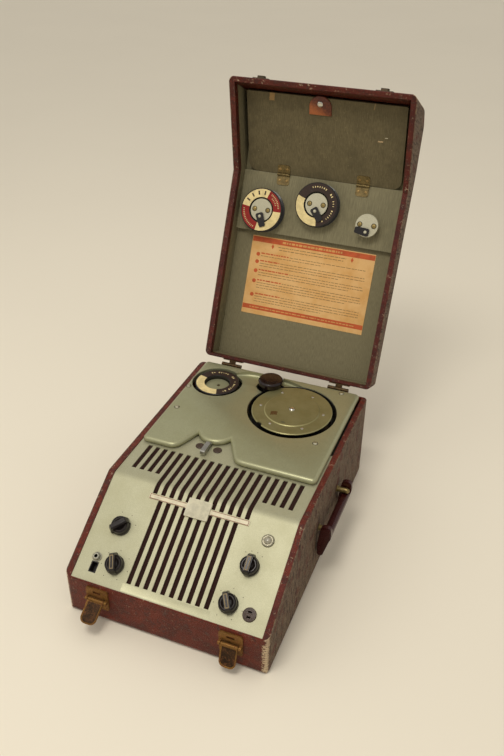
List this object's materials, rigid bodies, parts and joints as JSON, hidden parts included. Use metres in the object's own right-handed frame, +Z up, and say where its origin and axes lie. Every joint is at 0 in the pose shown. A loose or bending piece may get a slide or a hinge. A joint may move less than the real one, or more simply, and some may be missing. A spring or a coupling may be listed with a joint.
{
  "type": "portable wire recorder",
  "caption": "Portable wire recorder in a lidded carrying case, with a sloping grille panel, deck spools, moving head, spare spool clips and a pocket in the lid.",
  "frame": {"origin": "centre of the case's underside, not counting the open lid, the handle or the latches", "axes": "X to the right, Y to the back, Z up; the sloping control panel faces -Y and the open lid stands at +Y"},
  "size_m": [0.3068, 0.671, 0.5781],
  "materials": {
    "leatherette": "plywood covered in worn burgundy leatherette",
    "panel_metal": "pale satin silver paint on steel",
    "grille_cloth": "dark brown woven cloth",
    "bar_metal": "cream and bright metal trim",
    "chrome": "bright plating",
    "jewel": "clear white lamp jewel",
    "bakelite": "dark brown bakelite with worn tan pointers",
    "socket_brown": "dark brown moulded socket",
    "deck_paint": "olive grey satin paint",
    "screw_steel": "slotted steel screws",
    "plate_steel": "dull plated steel",
    "dark_steel": "black paint on laminated steel",
    "tube_glass": "clear glass bulbs",
    "cone_paper": "pressed paper cone",
    "old_brass": "tarnished brass",
    "latch_brass": "rusty ochre brass plating",
    "handle_red": "worn maroon grip",
    "drum_black": "dark cast drum",
    "disc_olive": "olive grey satin paint",
    "rivet_nickel": "nickel plated rivets",
    "drive_steel": "machined steel",
    "idler_rubber": "rubber tyred wheel",
    "spool_black": "black enamel on pressed metal",
    "wire": "fine steel wire wound on the core",
    "head_black": "black moulded head",
    "cap_maroon": "maroon glossy moulded cap",
    "board": "board covered in taupe grey paper cloth",
    "paper": "aged printed sheet",
    "clip_aluminium": "turned aluminium",
    "door_board": "board covered in mottled olive cloth",
    "tab_leather": "worn red brown leather",
    "cam_black": "black moulded cam"
  },
  "bodies": {
    "case": {"case_shell": "leatherette", "control_panel": "panel_metal", "grille_cloth": "grille_cloth", "name_bar": "bar_metal", "pilot_bezel": "chrome", "pilot_jewel": "jewel", "input_connector": "chrome", "input_socket": "socket_brown", "output_socket": "socket_brown", "lever_bumpers": "socket_brown", "deck_cover": "deck_paint", "deck_screws": "screw_steel", "mechanism_plate": "plate_steel", "amplifier_chassis": "plate_steel", "power_transformer": "dark_steel", "vacuum_tubes": "tube_glass", "speaker_frame": "plate_steel", "speaker_cone": "cone_paper", "control_bodies": "plate_steel", "drive_motor": "dark_steel", "handle_posts": "old_brass", "latch_plates": "latch_brass", "case_hinge_leaves": "old_brass", "lid_hinge_pins": "old_brass"},
    "lid": {"lid_shell": "leatherette", "lid_hinge_leaves": "old_brass", "spool_board": "board", "instruction_sheet": "paper", "clip_posts": "clip_aluminium", "lid_keepers": "latch_brass", "door_hinge_fixed": "old_brass"},
    "pocket_flap": {"pocket_door": "door_board", "door_hinge_moving": "old_brass", "leather_tab": "tab_leather", "tab_snap": "rivet_nickel"},
    "clip_cam_left": {"cam_left": "cam_black"},
    "clip_cam_middle": {"cam_middle": "cam_black"},
    "clip_cam_right": {"cam_right": "cam_black"},
    "spare_spool_left": {"stored_spool_left": "spool_black"},
    "spare_spool_middle": {"stored_spool_middle": "spool_black"},
    "takeup": {"takeup_drum": "drum_black", "takeup_disc": "disc_olive", "takeup_rivets": "rivet_nickel", "takeup_shaft": "drive_steel"},
    "idler": {"idler_wheel": "idler_rubber"},
    "motor_rotor": {"motor_pulley": "old_brass"},
    "supply_table": {"supply_turntable": "deck_paint"},
    "supply_reel": {"supply_spool": "spool_black", "supply_wire": "wire"},
    "head": {"head_post": "drive_steel", "head_body": "head_black", "head_cap": "cap_maroon"},
    "lever": {"control_lever": "plate_steel"},
    "function_switch": {"function_knob": "bakelite"},
    "volume": {"volume_knob": "bakelite"},
    "selector": {"selector_knob": "bakelite"},
    "tone": {"tone_knob": "bakelite"},
    "handle": {"handle_grip": "handle_red"},
    "latch_left": {"latch_lever_left": "latch_brass"},
    "latch_right": {"latch_lever_right": "latch_brass"}
  },
  "joints": [
    {"name": "lid_hinge", "type": "hinge", "parent": "case", "child": "lid", "pos_m": [0, 0.2261, 0.1402], "axis": [-1, 0, 0], "range_deg": [-114.34, 0]},
    {"name": "pocket_hinge", "type": "hinge", "parent": "lid", "child": "pocket_flap", "pos_m": [0, 0.38367, 0.41933], "axis": [1, 0, 0], "range_deg": [0, 65]},
    {"name": "cam_left_turn", "type": "hinge", "parent": "lid", "child": "clip_cam_left", "pos_m": [-0.0895, 0.3412, 0.36044], "axis": [0, -0.9111, 0.4122], "range_deg": [-20, 156]},
    {"name": "cam_middle_turn", "type": "hinge", "parent": "lid", "child": "clip_cam_middle", "pos_m": [0.0005, 0.34986, 0.37957], "axis": [0, -0.9111, 0.4122], "range_deg": [-35, 141]},
    {"name": "cam_right_turn", "type": "hinge", "parent": "lid", "child": "clip_cam_right", "pos_m": [0.0864, 0.34161, 0.36135], "axis": [0, -0.9111, 0.4122], "range_deg": [-83, 96]},
    {"name": "spare_left_spin", "type": "hinge", "parent": "lid", "child": "spare_spool_left", "pos_m": [-0.0895, 0.35237, 0.36669], "axis": [0, -0.9111, 0.4122], "continuous": true},
    {"name": "spare_middle_spin", "type": "hinge", "parent": "lid", "child": "spare_spool_middle", "pos_m": [0.0005, 0.36103, 0.38582], "axis": [0, -0.9111, 0.4122], "continuous": true},
    {"name": "takeup_spin", "type": "hinge", "parent": "case", "child": "takeup", "pos_m": [0.0478, 0.1285, 0.12], "axis": [0, 0, 1], "continuous": true},
    {"name": "idler_spin", "type": "hinge", "parent": "case", "child": "idler", "pos_m": [-0.00467, 0.09176, 0.099], "axis": [0, 0, 1], "continuous": true},
    {"name": "motor_spin", "type": "hinge", "parent": "case", "child": "motor_rotor", "pos_m": [-0.025, 0.08631, 0.099], "axis": [0, 0, 1], "continuous": true},
    {"name": "supply_spin", "type": "hinge", "parent": "case", "child": "supply_table", "pos_m": [-0.0883, 0.1585, 0.12], "axis": [0, 0, 1], "continuous": true},
    {"name": "supply_lift", "type": "slide", "parent": "supply_table", "child": "supply_reel", "axis": [0, 0, 1], "range_m": [0, 0.04]},
    {"name": "head_lift", "type": "slide", "parent": "case", "child": "head", "axis": [0, 0, 1], "range_m": [0, 0.008]},
    {"name": "lever_turn", "type": "hinge", "parent": "case", "child": "lever", "pos_m": [-0.037, 0.0443, 0.1415], "axis": [0, 0, 1], "range_deg": [-25, 25]},
    {"name": "function_turn", "type": "hinge", "parent": "case", "child": "function_switch", "pos_m": [-0.0935, -0.14698, 0.10492], "axis": [0, -0.5167, 0.8561], "range_deg": [0, 90]},
    {"name": "volume_turn", "type": "hinge", "parent": "case", "child": "volume", "pos_m": [-0.081, -0.18979, 0.07908], "axis": [0, -0.5167, 0.8561], "range_deg": [-170, 128]},
    {"name": "selector_turn", "type": "hinge", "parent": "case", "child": "selector", "pos_m": [0.0905, -0.14826, 0.10414], "axis": [0, -0.5167, 0.8561], "range_deg": [-60, 60]},
    {"name": "tone_turn", "type": "hinge", "parent": "case", "child": "tone", "pos_m": [0.08, -0.19235, 0.07753], "axis": [0, -0.5167, 0.8561], "range_deg": [-175, 120]},
    {"name": "handle_swing", "type": "hinge", "parent": "case", "child": "handle", "pos_m": [0.157, 0.0198, 0.08], "axis": [0, -1, 0], "range_deg": [0, 100]},
    {"name": "latch_left_swing", "type": "hinge", "parent": "case", "child": "latch_left", "pos_m": [-0.094, -0.2231, 0.041], "axis": [-1, 0, 0], "range_deg": [-58, 50]},
    {"name": "latch_right_swing", "type": "hinge", "parent": "case", "child": "latch_right", "pos_m": [0.094, -0.2231, 0.041], "axis": [-1, 0, 0], "range_deg": [-16, 92]}
  ],
  "couplings": [
    {"joint": "idler_spin", "follows": "takeup_spin", "ratio": -3},
    {"joint": "motor_spin", "follows": "takeup_spin", "ratio": 9.6}
  ]
}
